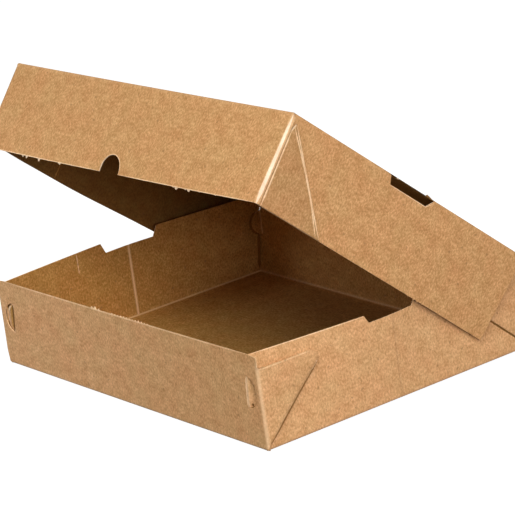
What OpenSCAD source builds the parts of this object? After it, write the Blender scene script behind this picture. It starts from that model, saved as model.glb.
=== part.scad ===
// Hinged takeout box folded from one sheet of kraft board.
// The frame's origin is the centre of the base's underside, +X runs along the hinge, +Y to the hinge side.

/* [Board] */
// Thickness of the board
board_t = 0.5; // [0.4:0.05:0.8]

/* [Tray] */
// Width of the base, along the hinge
tray_w = 240; // [180:1:320]
// Depth of the base, from front wall to hinge wall
tray_d = 180; // [150:1:260]
// Height of the walls
wall_h = 50; // [46:0.5:70]
// How far the rim of a side wall leans in
side_lean = 4; // [1:0.25:6]
// Corner radius at the ends of the front wall's rim
rim_end_r = 2; // [1:0.25:5]

/* [Web corners] */
// Height of wall that stands bare above a folded web
web_drop = 7; // [6:0.25:12]
// Rounding of a tray web's tip
web_tip_r = 8; // [3:0.5:12]
// Relief cut at the apex of a lid web
web_apex_r = 8; // [3:0.5:12]
// Width of the pressed fold that joins a web's two layers
web_fold_w = 1.2; // [0.8:0.1:2]

/* [Lock tongues] */
// Radius of a lock tongue's round end
tongue_r = 8.5; // [6:0.25:10]
// Height of a tongue's centre above the base
tongue_up = 29.5; // [24:0.5:34]
// Cut slit around a tongue
tongue_slit = 0.3; // [0.2:0.05:0.6]
// Room between a tongue's tip and the side wall that it stops
tongue_room = 0.4; // [0.2:0.1:1]
// How far the front tongues are pushed in, in degrees
front_push = 16; // [8:1:30]
// How far the hinge wall's tongues are pushed in, in degrees
back_push = 50; // [20:1:60]

/* [Vents] */
// Length of a side wall's vent notch at the rim
notch_len = 38; // [24:1:50]
// Depth of a side wall's vent notch
notch_depth = 5; // [3:0.25:8]
// Length of a lid flange's vent slot at the crease
slot_len = 33; // [20:1:45]
// Depth of a lid flange's vent slot
slot_depth = 5; // [3:0.25:8]
// How much a vent narrows at each end
vent_taper = 3; // [1:0.25:5]

/* [Lid] */
// Angle at which the lid stands open, in degrees
lid_open = 40; // [0:1:140]
// Room between the lid's sides and the tray's corners
lid_side_room = 2; // [1.5:0.25:4]
// Room between the lid's front flange and the tray's front wall
lid_front_room = 1.5; // [0.75:0.25:4]
// How far the edge of a side flange leans in
flange_lean = 1; // [0.25:0.25:1.25]
// Gap between the closed lid's edge and the table
flange_lift = 1.5; // [1:0.25:6]
// How far the foot of a side flange is cut back from the hinge
flange_cut_back = 7.5; // [2:0.5:14]
// Radius of the thumb notch
thumb_r = 8.5; // [6:0.25:12]
// Depth of the thumb notch
thumb_depth = 10.5; // [8.5:0.25:16]

/* [Hinge crease] */
// How far the crease stands above the rim, so that the closed lid clears it
crease_rise = 0.8; // [0.6:0.05:1.5]
// Gap between the crease bead and the lid's edge
crease_gap = 0.3; // [0.2:0.05:0.5]

/* [Hidden] */

kraft = "#b98d5f";
overlap = 0.3;
arc_step = 7.5;

layers_t = 2 * board_t;
wall_half_w = tray_w / 2 + layers_t;
lean_angle = asin(side_lean / wall_h);
web_h = wall_h - web_drop;
tongue_x = tray_w / 2 - board_t - tongue_up * tan(lean_angle) - tongue_room - tongue_r;

hinge_y = tray_d / 2 - board_t / 2;
hinge_z = wall_h + crease_rise;
crease_r = board_t / 2;
lid_start = crease_r + crease_gap;
lid_half_w = wall_half_w + lid_side_room + board_t;
lid_len = hinge_y + tray_d / 2 + lid_front_room + board_t;
flange_h = wall_h - flange_lift;
flange_angle = asin(flange_lean / flange_h);

// Outline of a vent that opens at its top edge
module vent_outline(len, depth) {
    polygon([
        [-len / 2, overlap],
        [-len / 2, 0],
        [-len / 2 + vent_taper, -depth],
        [len / 2 - vent_taper, -depth],
        [len / 2, 0],
        [len / 2, overlap]
    ]);
}

// Outline of one web layer: a right triangle with its top cut level at h and its tip rounded
module web_outline(h, tip_r) {
    tip_arc = [for (a = [90 : -arc_step : 45]) [h - tip_r + tip_r * cos(a), h - tip_r + tip_r * sin(a)]];
    polygon(concat([[0, 0], [0, h]], tip_arc));
}

// Pressed fold along the web's diagonal
module web_fold_outline(h, tip_r) {
    fold_end = h - tip_r + tip_r * cos(45) - web_fold_w / 2;
    half = web_fold_w / 2;
    polygon([[0, 0], [fold_end, fold_end], [fold_end - half, fold_end + half], [0, 2 * half]]);
}

// Sheet of board standing on its outline's lower edge, with its outer face on the YZ plane
module side_sheet(layer = 0, layers = 1) {
    translate([(layer - 1) * board_t, 0, 0])
        rotate([90, 0, 90])
            linear_extrude(height = layers * board_t) children();
}

// Half disc of a lock tongue, bulging towards +X from its straight side
module tongue_outline(r, root = 0) {
    intersection() {
        circle(r = r, $fn = 64);
        translate([-root, -r]) square([r + root, 2 * r]);
    }
}

// A lock tongue pushed in from a wall that faces -Y
module tongue(push) {
    translate([tongue_x, board_t - tray_d / 2, tongue_up])
        rotate([0, 0, push])
            rotate([90, 0, 0])
                linear_extrude(height = board_t)
                    tongue_outline(tongue_r - tongue_slit, overlap);
}

// Outline of the front wall or hinge wall, with its tongue slits
module end_wall_outline(h, end_r) {
    difference() {
        union() {
            translate([-wall_half_w, 0]) square([2 * wall_half_w, h - end_r]);
            translate([end_r - wall_half_w, 0]) square([2 * (wall_half_w - end_r), h]);
            for (side = [-1, 1])
                translate([side * (wall_half_w - end_r), h - end_r])
                    circle(r = end_r, $fn = 48);
        }
        for (side = [0, 1])
            mirror([side, 0])
                translate([tongue_x, tongue_up]) tongue_outline(tongue_r);
    }
}

// One wall that faces -Y, with its two tongues
module end_wall(h, end_r, push) {
    translate([0, board_t - tray_d / 2, 0])
        rotate([90, 0, 0])
            linear_extrude(height = board_t) end_wall_outline(h, end_r);
    for (side = [0, 1])
        mirror([side, 0, 0]) tongue(push);
}

// Side wall on +X, leaning in, with its vent notch
module side_wall() {
    wall_len = tray_d - board_t;
    translate([tray_w / 2, 0, 0])
        rotate([0, -lean_angle, 0])
            side_sheet()
                difference() {
                    translate([-wall_len / 2, 0]) square([wall_len, wall_h]);
                    translate([0, wall_h]) vent_outline(notch_len, notch_depth);
                }
}

// Folded web at the front corner on +X: inner layer on the side wall, outer layer from the front wall
module tray_web() {
    translate([tray_w / 2, -tray_d / 2, 0])
        rotate([0, -lean_angle, 0]) {
            side_sheet(layer = 1) web_outline(web_h, web_tip_r);
            side_sheet(layer = 1, layers = 2) web_fold_outline(web_h, web_tip_r);
        }
    translate([wall_half_w, -tray_d / 2, 0])
        rotate([0, 0, lean_angle])
            side_sheet() web_outline(web_h, web_tip_r);
}

module tray() {
    base_w = tray_w - board_t;
    base_d = tray_d - board_t;
    color(kraft) union() {
        translate([-base_w / 2, -base_d / 2, 0]) cube([base_w, base_d, board_t]);
        end_wall(wall_h, rim_end_r, front_push);
        mirror([0, 1, 0]) end_wall(hinge_z, crease_r, back_push);
        translate([-wall_half_w + crease_r, hinge_y, hinge_z])
            rotate([0, 90, 0])
                cylinder(r = crease_r, h = 2 * (wall_half_w - crease_r), $fn = 32);
        for (side = [0, 1])
            mirror([side, 0, 0]) {
                side_wall();
                tray_web();
                mirror([0, 1, 0]) tray_web();
            }
    }
}

// Outline of the lid's front flange, hanging below its crease
module front_flange_outline() {
    half_w = lid_half_w + layers_t;
    difference() {
        translate([-half_w, -flange_h]) square([2 * half_w, flange_h]);
        translate([0, thumb_depth - thumb_r - flange_h]) circle(r = thumb_r, $fn = 64);
        translate([-thumb_r, -flange_h - overlap])
            square([2 * thumb_r, thumb_depth - thumb_r + overlap]);
    }
}

// Outline of a side flange, mirrored to stand on its crease
module side_flange_outline() {
    difference() {
        polygon([
            [board_t / 2 - lid_len, 0],
            [-lid_start, 0],
            [-flange_cut_back, flange_h],
            [board_t / 2 - lid_len, flange_h]
        ]);
        translate([-hinge_y, board_t]) mirror([0, 1]) vent_outline(slot_len, slot_depth);
    }
}

// Outline of a lid web layer, with its apex cut away
module lid_web_outline() {
    difference() {
        web_outline(flange_h, overlap);
        circle(r = web_apex_r, $fn = 48);
    }
}

// Side flange on +X with the folded web of its front corner
module lid_side() {
    mirror([0, 0, 1]) {
        translate([lid_half_w, 0, -board_t / 2])
            rotate([0, -flange_angle, 0]) {
                side_sheet() side_flange_outline();
                translate([0, -lid_len, 0]) {
                    side_sheet(layer = 1) lid_web_outline();
                    side_sheet(layer = 1, layers = 2)
                        difference() {
                            web_fold_outline(flange_h, overlap);
                            circle(r = web_apex_r, $fn = 48);
                        }
                }
            }
        translate([lid_half_w + layers_t, -lid_len, -board_t / 2])
            rotate([0, 0, flange_angle])
                side_sheet() lid_web_outline();
    }
}

module lid() {
    color(kraft)
        translate([0, hinge_y, hinge_z])
            rotate([-lid_open, 0, 0]) {
                translate([-lid_half_w, -lid_len, -board_t / 2])
                    cube([2 * lid_half_w, lid_len - lid_start, board_t]);
                translate([0, board_t - lid_len, board_t / 2])
                    rotate([90, 0, 0])
                        linear_extrude(height = board_t) front_flange_outline();
                for (side = [0, 1])
                    mirror([side, 0, 0]) lid_side();
            }
}

tray();
lid();
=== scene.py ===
import math

import bpy
from mathutils import Matrix, Vector


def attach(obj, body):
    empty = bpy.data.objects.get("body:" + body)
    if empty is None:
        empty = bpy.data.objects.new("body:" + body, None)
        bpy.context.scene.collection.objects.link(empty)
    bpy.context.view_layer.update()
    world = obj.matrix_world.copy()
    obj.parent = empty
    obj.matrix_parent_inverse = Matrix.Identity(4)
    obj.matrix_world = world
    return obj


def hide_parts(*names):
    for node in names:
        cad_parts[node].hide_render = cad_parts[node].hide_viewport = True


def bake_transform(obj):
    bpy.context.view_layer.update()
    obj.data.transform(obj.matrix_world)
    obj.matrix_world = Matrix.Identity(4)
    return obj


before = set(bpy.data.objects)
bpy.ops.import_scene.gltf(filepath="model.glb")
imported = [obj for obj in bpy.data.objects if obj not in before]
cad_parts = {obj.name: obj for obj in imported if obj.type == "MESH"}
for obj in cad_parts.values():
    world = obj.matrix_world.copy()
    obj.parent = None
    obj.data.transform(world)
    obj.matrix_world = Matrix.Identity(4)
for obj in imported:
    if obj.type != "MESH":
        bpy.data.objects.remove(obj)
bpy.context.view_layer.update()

# Tray strip: hinge wall, base and front wall in one run of uncoated kraft board, cut flat by dies.
# The walls turn up on rounded creases, and their ends turn back on corner creases as the outer web
# layers. Fibres, blotches and specks colour the board, and it is paler where it is cut. Along creases it is
# paler too, partly crushed fibre and partly painted highlight; the tone attribute darkens it as painted
# shade.
MM = 0.001
BOARD = 0.5
BOARD_ROUGH = 0.86
FIBRES_PER_M = 1000.0
FIBRE_STRETCH = (1.0, 0.65, 1.0)
FIBRE_RELIEF = (("Strength", 0.045), ("Distance", 0.0004))
BLOTCHES_PER_M = 150.0
BLOTCH_TINT = ((0.88, 0.84, 0.78), (1.12, 1.16, 1.22))
DRIFT_PER_M = 55.0
DRIFT_TINT = ((0.985, 1.03, 1.03), (1.015, 0.97, 0.97))
NOISE_LOW = (0.3, 0.3, 0.3)
NOISE_HIGH = (0.7, 0.7, 0.7)
SPECKS_PER_M = 330.0
SPECK_CUT = (("From Min", 0.69), ("From Max", 0.76), ("To Max", 0.55))
SPECK = (0.30, 0.155, 0.062, 1.0)
CREASE_PALE = (0.80, 0.58, 0.36, 1.0)


def board_material(name, ground, sheen=0.2, pale=CREASE_PALE):
    finish = bpy.data.materials.new(name)
    finish.use_nodes = True
    tree = finish.node_tree
    tree.nodes.clear()
    link = tree.links.new

    def add(kind, inputs=(), **values):
        made = tree.nodes.new(kind)
        for key, value in values.items():
            setattr(made, key, value)
        for socket, value in inputs:
            made.inputs[socket].default_value = value
        return made

    def noise(source, scale, detail, rough=0.5):
        made = add("ShaderNodeTexNoise", (("Scale", scale), ("Detail", detail), ("Roughness", rough)))
        link(source, made.inputs["Vector"])
        return made.outputs["Fac"]

    def tinted(colour, amount, low, high):
        spread = (("From Min", NOISE_LOW), ("From Max", NOISE_HIGH), ("To Min", low), ("To Max", high))
        tint = add("ShaderNodeMapRange", spread, data_type="FLOAT_VECTOR")
        link(amount, tint.inputs["Vector"])
        made = add("ShaderNodeVectorMath", operation="MULTIPLY")
        link(colour, made.inputs[0])
        link(tint.outputs["Vector"], made.inputs[1])
        return made.outputs["Vector"]

    def covered(colour, cover, mask):
        made = add("ShaderNodeMix", (("B", cover),), data_type="RGBA")
        link(mask, made.inputs["Factor"])
        link(colour, made.inputs["A"])
        return made.outputs["Result"]

    out = add("ShaderNodeOutputMaterial")
    shader = add("ShaderNodeBsdfPrincipled", (("Roughness", BOARD_ROUGH), ("Specular IOR Level", sheen)))
    link(shader.outputs["BSDF"], out.inputs["Surface"])
    blank = add("ShaderNodeUVMap", uv_map="blank").outputs["UV"]
    stretch = add("ShaderNodeMapping", (("Scale", FIBRE_STRETCH),))
    link(blank, stretch.inputs["Vector"])
    fibre = noise(stretch.outputs["Vector"], FIBRES_PER_M, 3.0, 0.62)
    fibre_tone = add("ShaderNodeValToRGB")
    ramp = fibre_tone.color_ramp.elements
    ramp[0].position = 0.33
    ramp[0].color = ground[0]
    ramp[1].position = 0.67
    ramp[1].color = ground[2]
    ramp.new(0.5).color = ground[1]
    link(fibre, fibre_tone.inputs["Fac"])
    colour = tinted(fibre_tone.outputs["Color"], noise(blank, BLOTCHES_PER_M, 4.0, 0.6), *BLOTCH_TINT)
    colour = tinted(colour, noise(blank, DRIFT_PER_M, 2.0), *DRIFT_TINT)
    speck_mask = add("ShaderNodeMapRange", SPECK_CUT)
    link(noise(blank, SPECKS_PER_M, 1.0), speck_mask.inputs["Value"])
    colour = covered(colour, SPECK, speck_mask.outputs["Result"])
    # Crease mix: pale crushed fibre together with painted highlight along the folds.
    crease = add("ShaderNodeAttribute", attribute_name="crease")
    colour = covered(colour, pale, crease.outputs["Fac"])
    # Tone: painted shade, darker where a sheet's tone attribute is negative.
    tone = add("ShaderNodeAttribute", attribute_name="tone")
    gain = add("ShaderNodeMath", ((1, 1.0),), operation="ADD")
    link(tone.outputs["Fac"], gain.inputs[0])
    toned = add("ShaderNodeVectorMath", operation="SCALE")
    link(colour, toned.inputs[0])
    link(gain.outputs["Value"], toned.inputs["Scale"])
    link(toned.outputs["Vector"], shader.inputs["Base Color"])
    bump = add("ShaderNodeBump", FIBRE_RELIEF)
    link(fibre, bump.inputs["Height"])
    link(bump.outputs["Normal"], shader.inputs["Normal"])
    return finish


def shades(colour, tones):
    return [tuple(c * tone for c in colour) + (1.0,) for tone in tones]


# The tray's outer face is a little paler and less saturated than the lid's (KRAFT_*), though both are one
# board.
TRAY_DARK = (0.528, 0.281, 0.115, 1.0)
TRAY_MID = (0.650, 0.368, 0.167, 1.0)
TRAY_LIGHT = (0.803, 0.487, 0.246, 1.0)
RIM = (0.84, 0.56, 0.30)
# The inside finish is darker and more saturated than the outer face of the same board: painted shade of the
# tray's dim inside.
INSIDE_DARK = (0.400, 0.190, 0.044, 1.0)
INSIDE_MID = (0.540, 0.278, 0.077, 1.0)
INSIDE_LIGHT = (0.715, 0.405, 0.136, 1.0)
# Inside crease colour: crushed fibre and painted highlight, far paler than the inside board.
INSIDE_CREASE = (0.95, 0.66, 0.36, 1.0)
INSIDE_SHEEN = 0.03
kraft_tray = board_material("kraft_tray", (TRAY_DARK, TRAY_MID, TRAY_LIGHT))
kraft_rim = board_material("kraft_rim", shades(RIM, (0.84, 0.97, 1.08)))
inside_shades = (INSIDE_DARK, INSIDE_MID, INSIDE_LIGHT)
kraft_inside_shaded = board_material("kraft_inside_shaded", inside_shades, INSIDE_SHEEN, INSIDE_CREASE)

TRAY_FINISHES = (kraft_tray, kraft_rim, kraft_inside_shaded)
FACE_SLOT = 0
CUT_SLOT = 1
INSIDE_SLOT = 2
SHADE_SLOT = 3
DIE_REACH = 4 * BOARD
FINE_CUTS = 4
PROBE = 0.02
SMOOTH_BELOW = math.radians(35)


def pick(piece):
    bpy.ops.object.select_all(action="DESELECT")
    piece.select_set(True)
    bpy.context.view_layer.objects.active = piece


def flat_sheet(name, low, high, pitch, u_lines=(), v_lines=(), fine=None):
    size = (high[0] - low[0], high[1] - low[1])
    bpy.ops.object.select_all(action="DESELECT")
    bpy.ops.mesh.primitive_grid_add(
        x_subdivisions=max(1, round(size[0] / pitch)),
        y_subdivisions=max(1, round(size[1] / pitch)),
        size=1.0,
    )
    sheet = bpy.context.object
    sheet.name = name
    sheet.scale = (size[0], size[1], 1.0)
    sheet.location = ((low[0] + high[0]) / 2, (low[1] + high[1]) / 2, 0.0)
    bpy.ops.object.transform_apply(location=True, rotation=True, scale=True)
    cuts = [((u, 0.0, 0.0), (1.0, 0.0, 0.0)) for u in u_lines]
    cuts += [((0.0, v, 0.0), (0.0, 1.0, 0.0)) for v in v_lines]
    bpy.ops.object.mode_set(mode="EDIT")
    for point, normal in cuts:
        bpy.ops.mesh.select_all(action="SELECT")
        bpy.ops.mesh.bisect(plane_co=point, plane_no=normal)
    bpy.ops.object.mode_set(mode="OBJECT")
    if fine is not None:
        mesh = sheet.data
        for part in list(mesh.vertices) + list(mesh.edges) + list(mesh.polygons):
            part.select = False
        for face in mesh.polygons:
            face.select = fine(face.center.x, face.center.y)
        bpy.ops.object.mode_set(mode="EDIT")
        bpy.ops.mesh.subdivide(number_cuts=FINE_CUTS)
        bpy.ops.object.mode_set(mode="OBJECT")
    thicken = sheet.modifiers.new("board", "SOLIDIFY")
    thicken.thickness = BOARD
    thicken.offset = 0.0
    bpy.ops.object.modifier_apply(modifier=thicken.name)
    return sheet


def die_cut(sheet, outlines):
    for outline in outlines:
        shape = bpy.data.meshes.new("die")
        shape.from_pydata([(u, v, -DIE_REACH) for u, v in outline], [], [range(len(outline))])
        die = bpy.data.objects.new("die", shape)
        bpy.context.scene.collection.objects.link(die)
        pick(die)
        bpy.ops.object.mode_set(mode="EDIT")
        bpy.ops.mesh.select_all(action="SELECT")
        bpy.ops.mesh.extrude_region_move(TRANSFORM_OT_translate={"value": (0.0, 0.0, 2 * DIE_REACH)})
        bpy.ops.mesh.select_all(action="SELECT")
        bpy.ops.mesh.normals_make_consistent(inside=False)
        bpy.ops.object.mode_set(mode="OBJECT")
        pick(sheet)
        cut = sheet.modifiers.new("cut", "BOOLEAN")
        cut.operation = "DIFFERENCE"
        cut.solver = "EXACT"
        cut.object = die
        bpy.ops.object.modifier_apply(modifier=cut.name)
        bpy.data.objects.remove(die)


def on_sheet(place, u, v, lift):
    along = Vector(place(u + PROBE, v)) - Vector(place(u - PROBE, v))
    across = Vector(place(u, v + PROBE)) - Vector(place(u, v - PROBE))
    normal = along.cross(across).normalized()
    return (Vector(place(u, v)) + normal * lift) * MM


def fold_sheet(sheet, place, finishes, inside, crease=None, tone=None, shaded_cut=None):
    mesh = sheet.data
    mesh.materials.clear()
    for finish in finishes:
        mesh.materials.append(finish)
    for face in mesh.polygons:
        if abs(face.normal.z) < 0.5:
            # Cut faces at the vent slot's top take a near-black finish as painted shade.
            shade_painted = shaded_cut is not None and shaded_cut(face.center.x, face.center.y)
            face.material_index = SHADE_SLOT if shade_painted else CUT_SLOT
        elif face.normal.z * inside > 0:
            face.material_index = INSIDE_SLOT
        else:
            face.material_index = FACE_SLOT
    blank = mesh.uv_layers.new(name="blank")
    for loop in mesh.loops:
        point = mesh.vertices[loop.vertex_index].co
        blank.data[loop.index].uv = (point.x * MM, point.y * MM)
    mesh.uv_layers.active = blank
    # crease carries the pale crease marks, partly painted highlight; tone carries painted shade.
    for kind in ("crease", "tone"):
        mesh.attributes.new(kind, "FLOAT", "POINT")
    crease_tint = mesh.attributes["crease"].data
    shade = mesh.attributes["tone"].data
    for vertex in mesh.vertices:
        u, v, w = vertex.co
        if crease is not None:
            crease_tint[vertex.index].value = crease(u, v)
        if tone is not None:
            shade[vertex.index].value = tone(u, v)
        vertex.co = on_sheet(place, u, v, w)
    pick(sheet)
    bpy.ops.object.shade_smooth_by_angle(angle=SMOOTH_BELOW)


def ease(t):
    t = min(1.0, max(0.0, t))
    return t * t * (3.0 - 2.0 * t)


def peak(t, centre, half):
    return math.exp(-((t - centre) / half) ** 2)


def rows(start, length, steps):
    return [start + length * k / steps for k in range(steps + 1)]


def wrap_corner(run, radius, bend):
    if run <= 0.0 or bend < 0.001:
        return run, 0.0
    arc = radius * math.pi / 2
    full = bend * math.pi / 2
    bow = arc / full
    angle = min(run, arc) / bow
    rest = max(0.0, run - arc)
    along = bow * math.sin(angle) + rest * math.cos(full)
    back = bow * (1 - math.cos(angle)) + rest * math.sin(full)
    return along, back


BASE_W = 240.0
BASE_D = 180.0
WALL_H = 50.0
HINGE_WALL_H = 49.2
STRIP_PITCH = 6.0
STRIP_SPARE = 46.0
WASTE = 9.0
FAR_WASTE = 60.0
FOLD_R = 1.2
FOLD_LEN = FOLD_R * math.pi / 2
FOLD_TOP = BOARD / 2 + FOLD_R
FOLD_STEPS = 5
FOLD_MARGIN = 0.8
BASE_FLAT = BASE_D / 2 - BOARD / 2 - FOLD_R
SIDE_FLAT = BASE_W / 2 - BOARD / 2 - FOLD_R
END_HALF = BASE_W / 2 + 2 * BOARD
END_PULL = 3.3
REAR_PULL = 0.6
LEFT_PULL = 2.2
LEFT_SPREAD = 1.1
LEFT_SPREAD_BY = 8.0
FRONT_LEAN = 0.55
FRONT_TWIST = 1.25
RIM_PULL = 8.6
PULL_CURVE = 1.25
WALL_SWELL = 1.05
RIGHT_SWELL = 0.5
RIGHT_SWELL_RUN = 40
LEFT_SLACK = 0.2
LEFT_SLACK_FROM = 50
LEFT_SLACK_RUN = 35
GROOVE = 0.28
GROOVE_HALF = 0.7
GROOVE_START = 8
RIM_CHAMFER = (7.0, 0.75)
SQUARE_END = (0.01, 0.01)
RIM_LIFT = 0.5
RIM_LIFT_RUN = 60
CORNER_R = 1.3
CORNER_ARC = CORNER_R * math.pi / 2
CORNER_AT = END_HALF - BOARD / 2 - CORNER_R
CORNER_MARGIN = 0.7
# Crease marks on the tray: pale crushed fibre and painted highlight, strongest on the corner creases.
CORNER_MARK = 0.5
FRONT_MARK = 0.22
REAR_MARK = 0.45
WEB_H = 43.0
WEB_EASE = 0.9
WEB_FOLD = 40.3 / 36.9
FRONT_FOLD = (1.105, 2.1)
REAR_TIP = ((40.3, 36.9), (40.35, 38.2), (39.8, 39.9), (38.6, 41.5), (37.0, 42.6), (35.0, 43.0))
FRONT_TIP = ((38.7, 36.9), (38.9, 38.2), (38.4, 39.9), (36.9, 41.5), (34.9, 42.6), (32.5, 43.0))
WEB_FOOT = 2.2
FRONT_STAND_OFF = 3.4 * BOARD
REAR_STAND_OFF = 2.7 * BOARD
FOLD_TUCK = 0.5
FOLD_TUCK_RUN = 0.7
TONGUE_SLIT = 0.3
BACK_TONGUE_AT = 112.2
BACK_TONGUE_UP = 32.7
BACK_TONGUE_R = 7.5
RIGHT_TONGUE_AT = 109.5
RIGHT_TONGUE_UP = 29.5
RIGHT_TONGUE_R = 8.5
RIGHT_TURN = -0.1
LEFT_TONGUE_AT = 107.4
LEFT_TONGUE_UP = 28.8
LEFT_TONGUE_R = 8.9
LEFT_TURN = 0.12
PINHOLE_AT = (112.6, 41.0)
PINHOLE_R = 0.6
# Painted shade: the base's inside is darkened by up to 16 per cent towards the right, where the lid shades
# it.
BASE_PAINTED_SHADE = -0.16
PAINTED_SHADE_FROM = -85.0
PAINTED_SHADE_RUN = 40.0
CORNERS = [(hand, side) for hand in (-1, 1) for side in (-1, 1)]


def round_fold(run):
    angle = run / FOLD_R
    return FOLD_R * math.sin(angle), FOLD_R * (1 - math.cos(angle))


def web_fold_back(z, side):
    if side > 0:
        return z * WEB_FOLD
    return max(0.4, z * FRONT_FOLD[0] - FRONT_FOLD[1])


def web_tip(side):
    return REAR_TIP if side > 0 else FRONT_TIP


def tongue_spot(hand, side):
    if side > 0:
        return BACK_TONGUE_AT, BACK_TONGUE_UP, BACK_TONGUE_R, 0.0
    if hand > 0:
        return RIGHT_TONGUE_AT, RIGHT_TONGUE_UP, RIGHT_TONGUE_R, RIGHT_TURN
    return LEFT_TONGUE_AT, LEFT_TONGUE_UP, LEFT_TONGUE_R, LEFT_TURN


def wall_v(height):
    return BASE_FLAT + FOLD_LEN + height - FOLD_TOP


def wall_rise(x, y, z):
    forward = ease((BASE_D / 2 - y) / RIM_LIFT_RUN)
    return z * (1 + RIM_LIFT / WALL_H * max(0.0, x / END_HALF) * forward)


def side_wall_x(y, z, hand=1):
    climb = max(0.0, z - FOLD_TOP) / (WALL_H - FOLD_TOP)
    if hand > 0:
        swell = WALL_SWELL + RIGHT_SWELL * ease(y / RIGHT_SWELL_RUN)
    else:
        swell = WALL_SWELL - LEFT_SLACK * ease((y - LEFT_SLACK_FROM) / LEFT_SLACK_RUN)
    pull = RIM_PULL * abs(y / (BASE_D / 2)) ** PULL_CURVE * climb ** swell
    groove = GROOVE * peak(y, 0.0, GROOVE_HALF) * min(1.0, climb * GROOVE_START)
    return BASE_W / 2 - BOARD / 2 - pull - groove


def front_lean(x, z):
    return (FRONT_LEAN + FRONT_TWIST * x / END_HALF) * z / WALL_H


def end_pull(u, side, z):
    if side > 0:
        return REAR_PULL * z / WALL_H
    if u < 0:
        return LEFT_PULL * z / WALL_H - LEFT_SPREAD * ease(z / LEFT_SPREAD_BY)
    return END_PULL * z / WALL_H


def strip_place(u, v):
    side = -1.0 if v < 0 else 1.0
    run = abs(v) - BASE_FLAT
    if run <= 0.0:
        return u, v, BOARD / 2
    if run < FOLD_LEN:
        out, rise = round_fold(run)
        y = BASE_FLAT + out
        z = BOARD / 2 + rise
    else:
        y = BASE_D / 2 - BOARD / 2
        z = FOLD_TOP + run - FOLD_LEN
    pull = end_pull(u, side, z)
    bend = ease((WEB_H + WEB_EASE - z) / WEB_EASE)
    along, back = wrap_corner(abs(u) - CORNER_AT, CORNER_R, bend)
    x = CORNER_AT + along - pull * min(1.0, abs(u) / CORNER_AT)
    if back > CORNER_R and bend > 0.99:
        corner_x = CORNER_AT + CORNER_R - pull
        fold_at = min(web_fold_back(z, side), web_tip(side)[1][0])
        reach = min(1.0, (back - CORNER_R) / max(2.0, fold_at - CORNER_R))
        stand_off = FRONT_STAND_OFF if side < 0 else REAR_STAND_OFF
        lies_at = side_wall_x(side * (BASE_D / 2 - fold_at), z, u) + stand_off
        x = corner_x + reach * (lies_at - corner_x)
        x -= FOLD_TUCK * ease((back - (fold_at - FOLD_TUCK_RUN)) / FOLD_TUCK_RUN)
    if side < 0:
        y -= front_lean(u, z)
    x = math.copysign(x, u)
    y = side * (y - back)
    return x, y, wall_rise(x, y, z)


def web_u(back):
    return CORNER_AT + CORNER_ARC + back - CORNER_R


def strip_offcuts(side, chamfer, top):
    outline = [
        (SIDE_FLAT, 0.0),
        (SIDE_FLAT, BASE_FLAT),
        (END_HALF - 0.6, BASE_FLAT + 0.05),
        (END_HALF - 0.2, wall_v(WEB_FOOT)),
        (web_u(web_fold_back(WEB_FOOT + 0.6, side)), wall_v(WEB_FOOT + 0.6)),
    ]
    outline += [(web_u(back), wall_v(z)) for back, z in web_tip(side)]
    outline += [
        (CORNER_AT + CORNER_ARC * 0.9, wall_v(WEB_H)),
        (END_HALF, wall_v(WEB_H + 0.4)),
        (END_HALF, wall_v(top - chamfer[1])),
        (END_HALF - chamfer[0], wall_v(top)),
        (END_HALF - chamfer[0], wall_v(top) + WASTE),
        (END_HALF + FAR_WASTE, wall_v(top) + WASTE),
        (END_HALF + FAR_WASTE, 0.0),
    ]
    return [[(hand * u, side * v) for u, v in outline] for hand in (-1, 1)]


def half_disc(at, radius, turned=0.0):
    arc = []
    for k in range(25):
        angle = math.radians(-90 + 7.5 * k) + turned
        arc.append((at[0] + radius * math.cos(angle), at[1] + radius * math.sin(angle)))
    return arc


def strip_crease(u, v):
    run = abs(v) - BASE_FLAT
    mark = 0.0
    if run > FOLD_LEN:
        corner = (abs(u) - CORNER_AT) / CORNER_ARC
        height = FOLD_TOP + run - FOLD_LEN
        if -0.4 < corner < 1.4 and height < WEB_H + 1:
            mark = CORNER_MARK * peak(corner, 0.5, 0.5)
    strength = FRONT_MARK if v < 0 else REAR_MARK
    return max(mark, strength * peak(run / FOLD_LEN, 0.5, 0.5))


def strip_painted_shade(u, v):
    return BASE_PAINTED_SHADE * ease((u - PAINTED_SHADE_FROM) / PAINTED_SHADE_RUN) if abs(v) < BASE_FLAT - 1.0 else 0.0


def web_field(u, v):
    return abs(u) > CORNER_AT + CORNER_ARC + CORNER_MARGIN and abs(v) > wall_v(0.0)


fold_lines = rows(BASE_FLAT, FOLD_LEN, FOLD_STEPS)
fold_lines += [BASE_FLAT - FOLD_MARGIN, BASE_FLAT + FOLD_LEN + FOLD_MARGIN]
corner_lines = rows(CORNER_AT, CORNER_ARC, FOLD_STEPS)
corner_lines += [CORNER_AT - CORNER_MARGIN, CORNER_AT + CORNER_ARC + CORNER_MARGIN]
web_top_lines = [wall_v(WEB_H + 0.25 * k) for k in range(5)]
strip = flat_sheet(
    "tray_board",
    (-(END_HALF + STRIP_SPARE), -wall_v(WALL_H)),
    (END_HALF + STRIP_SPARE, wall_v(HINGE_WALL_H)),
    STRIP_PITCH,
    [hand * u for hand in (-1, 1) for u in corner_lines],
    [side * v for side in (-1, 1) for v in fold_lines + web_top_lines],
    web_field,
)
offcuts = strip_offcuts(-1, RIM_CHAMFER, WALL_H)
offcuts += strip_offcuts(1, SQUARE_END, HINGE_WALL_H)
for hand, side in CORNERS:
    across, up, radius, turned = tongue_spot(hand, side)
    slit = half_disc((across, wall_v(up)), radius, turned)
    offcuts.append([(hand * u, side * v) for u, v in slit])
pinhole = []
for k in range(12):
    angle = math.radians(30 * k)
    u = -PINHOLE_AT[0] + PINHOLE_R * math.cos(angle)
    pinhole.append((u, wall_v(PINHOLE_AT[1]) + PINHOLE_R * math.sin(angle)))
offcuts.append(pinhole)
die_cut(strip, offcuts)
fold_sheet(strip, strip_place, TRAY_FINISHES, 1, strip_crease, strip_painted_shade)

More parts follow.
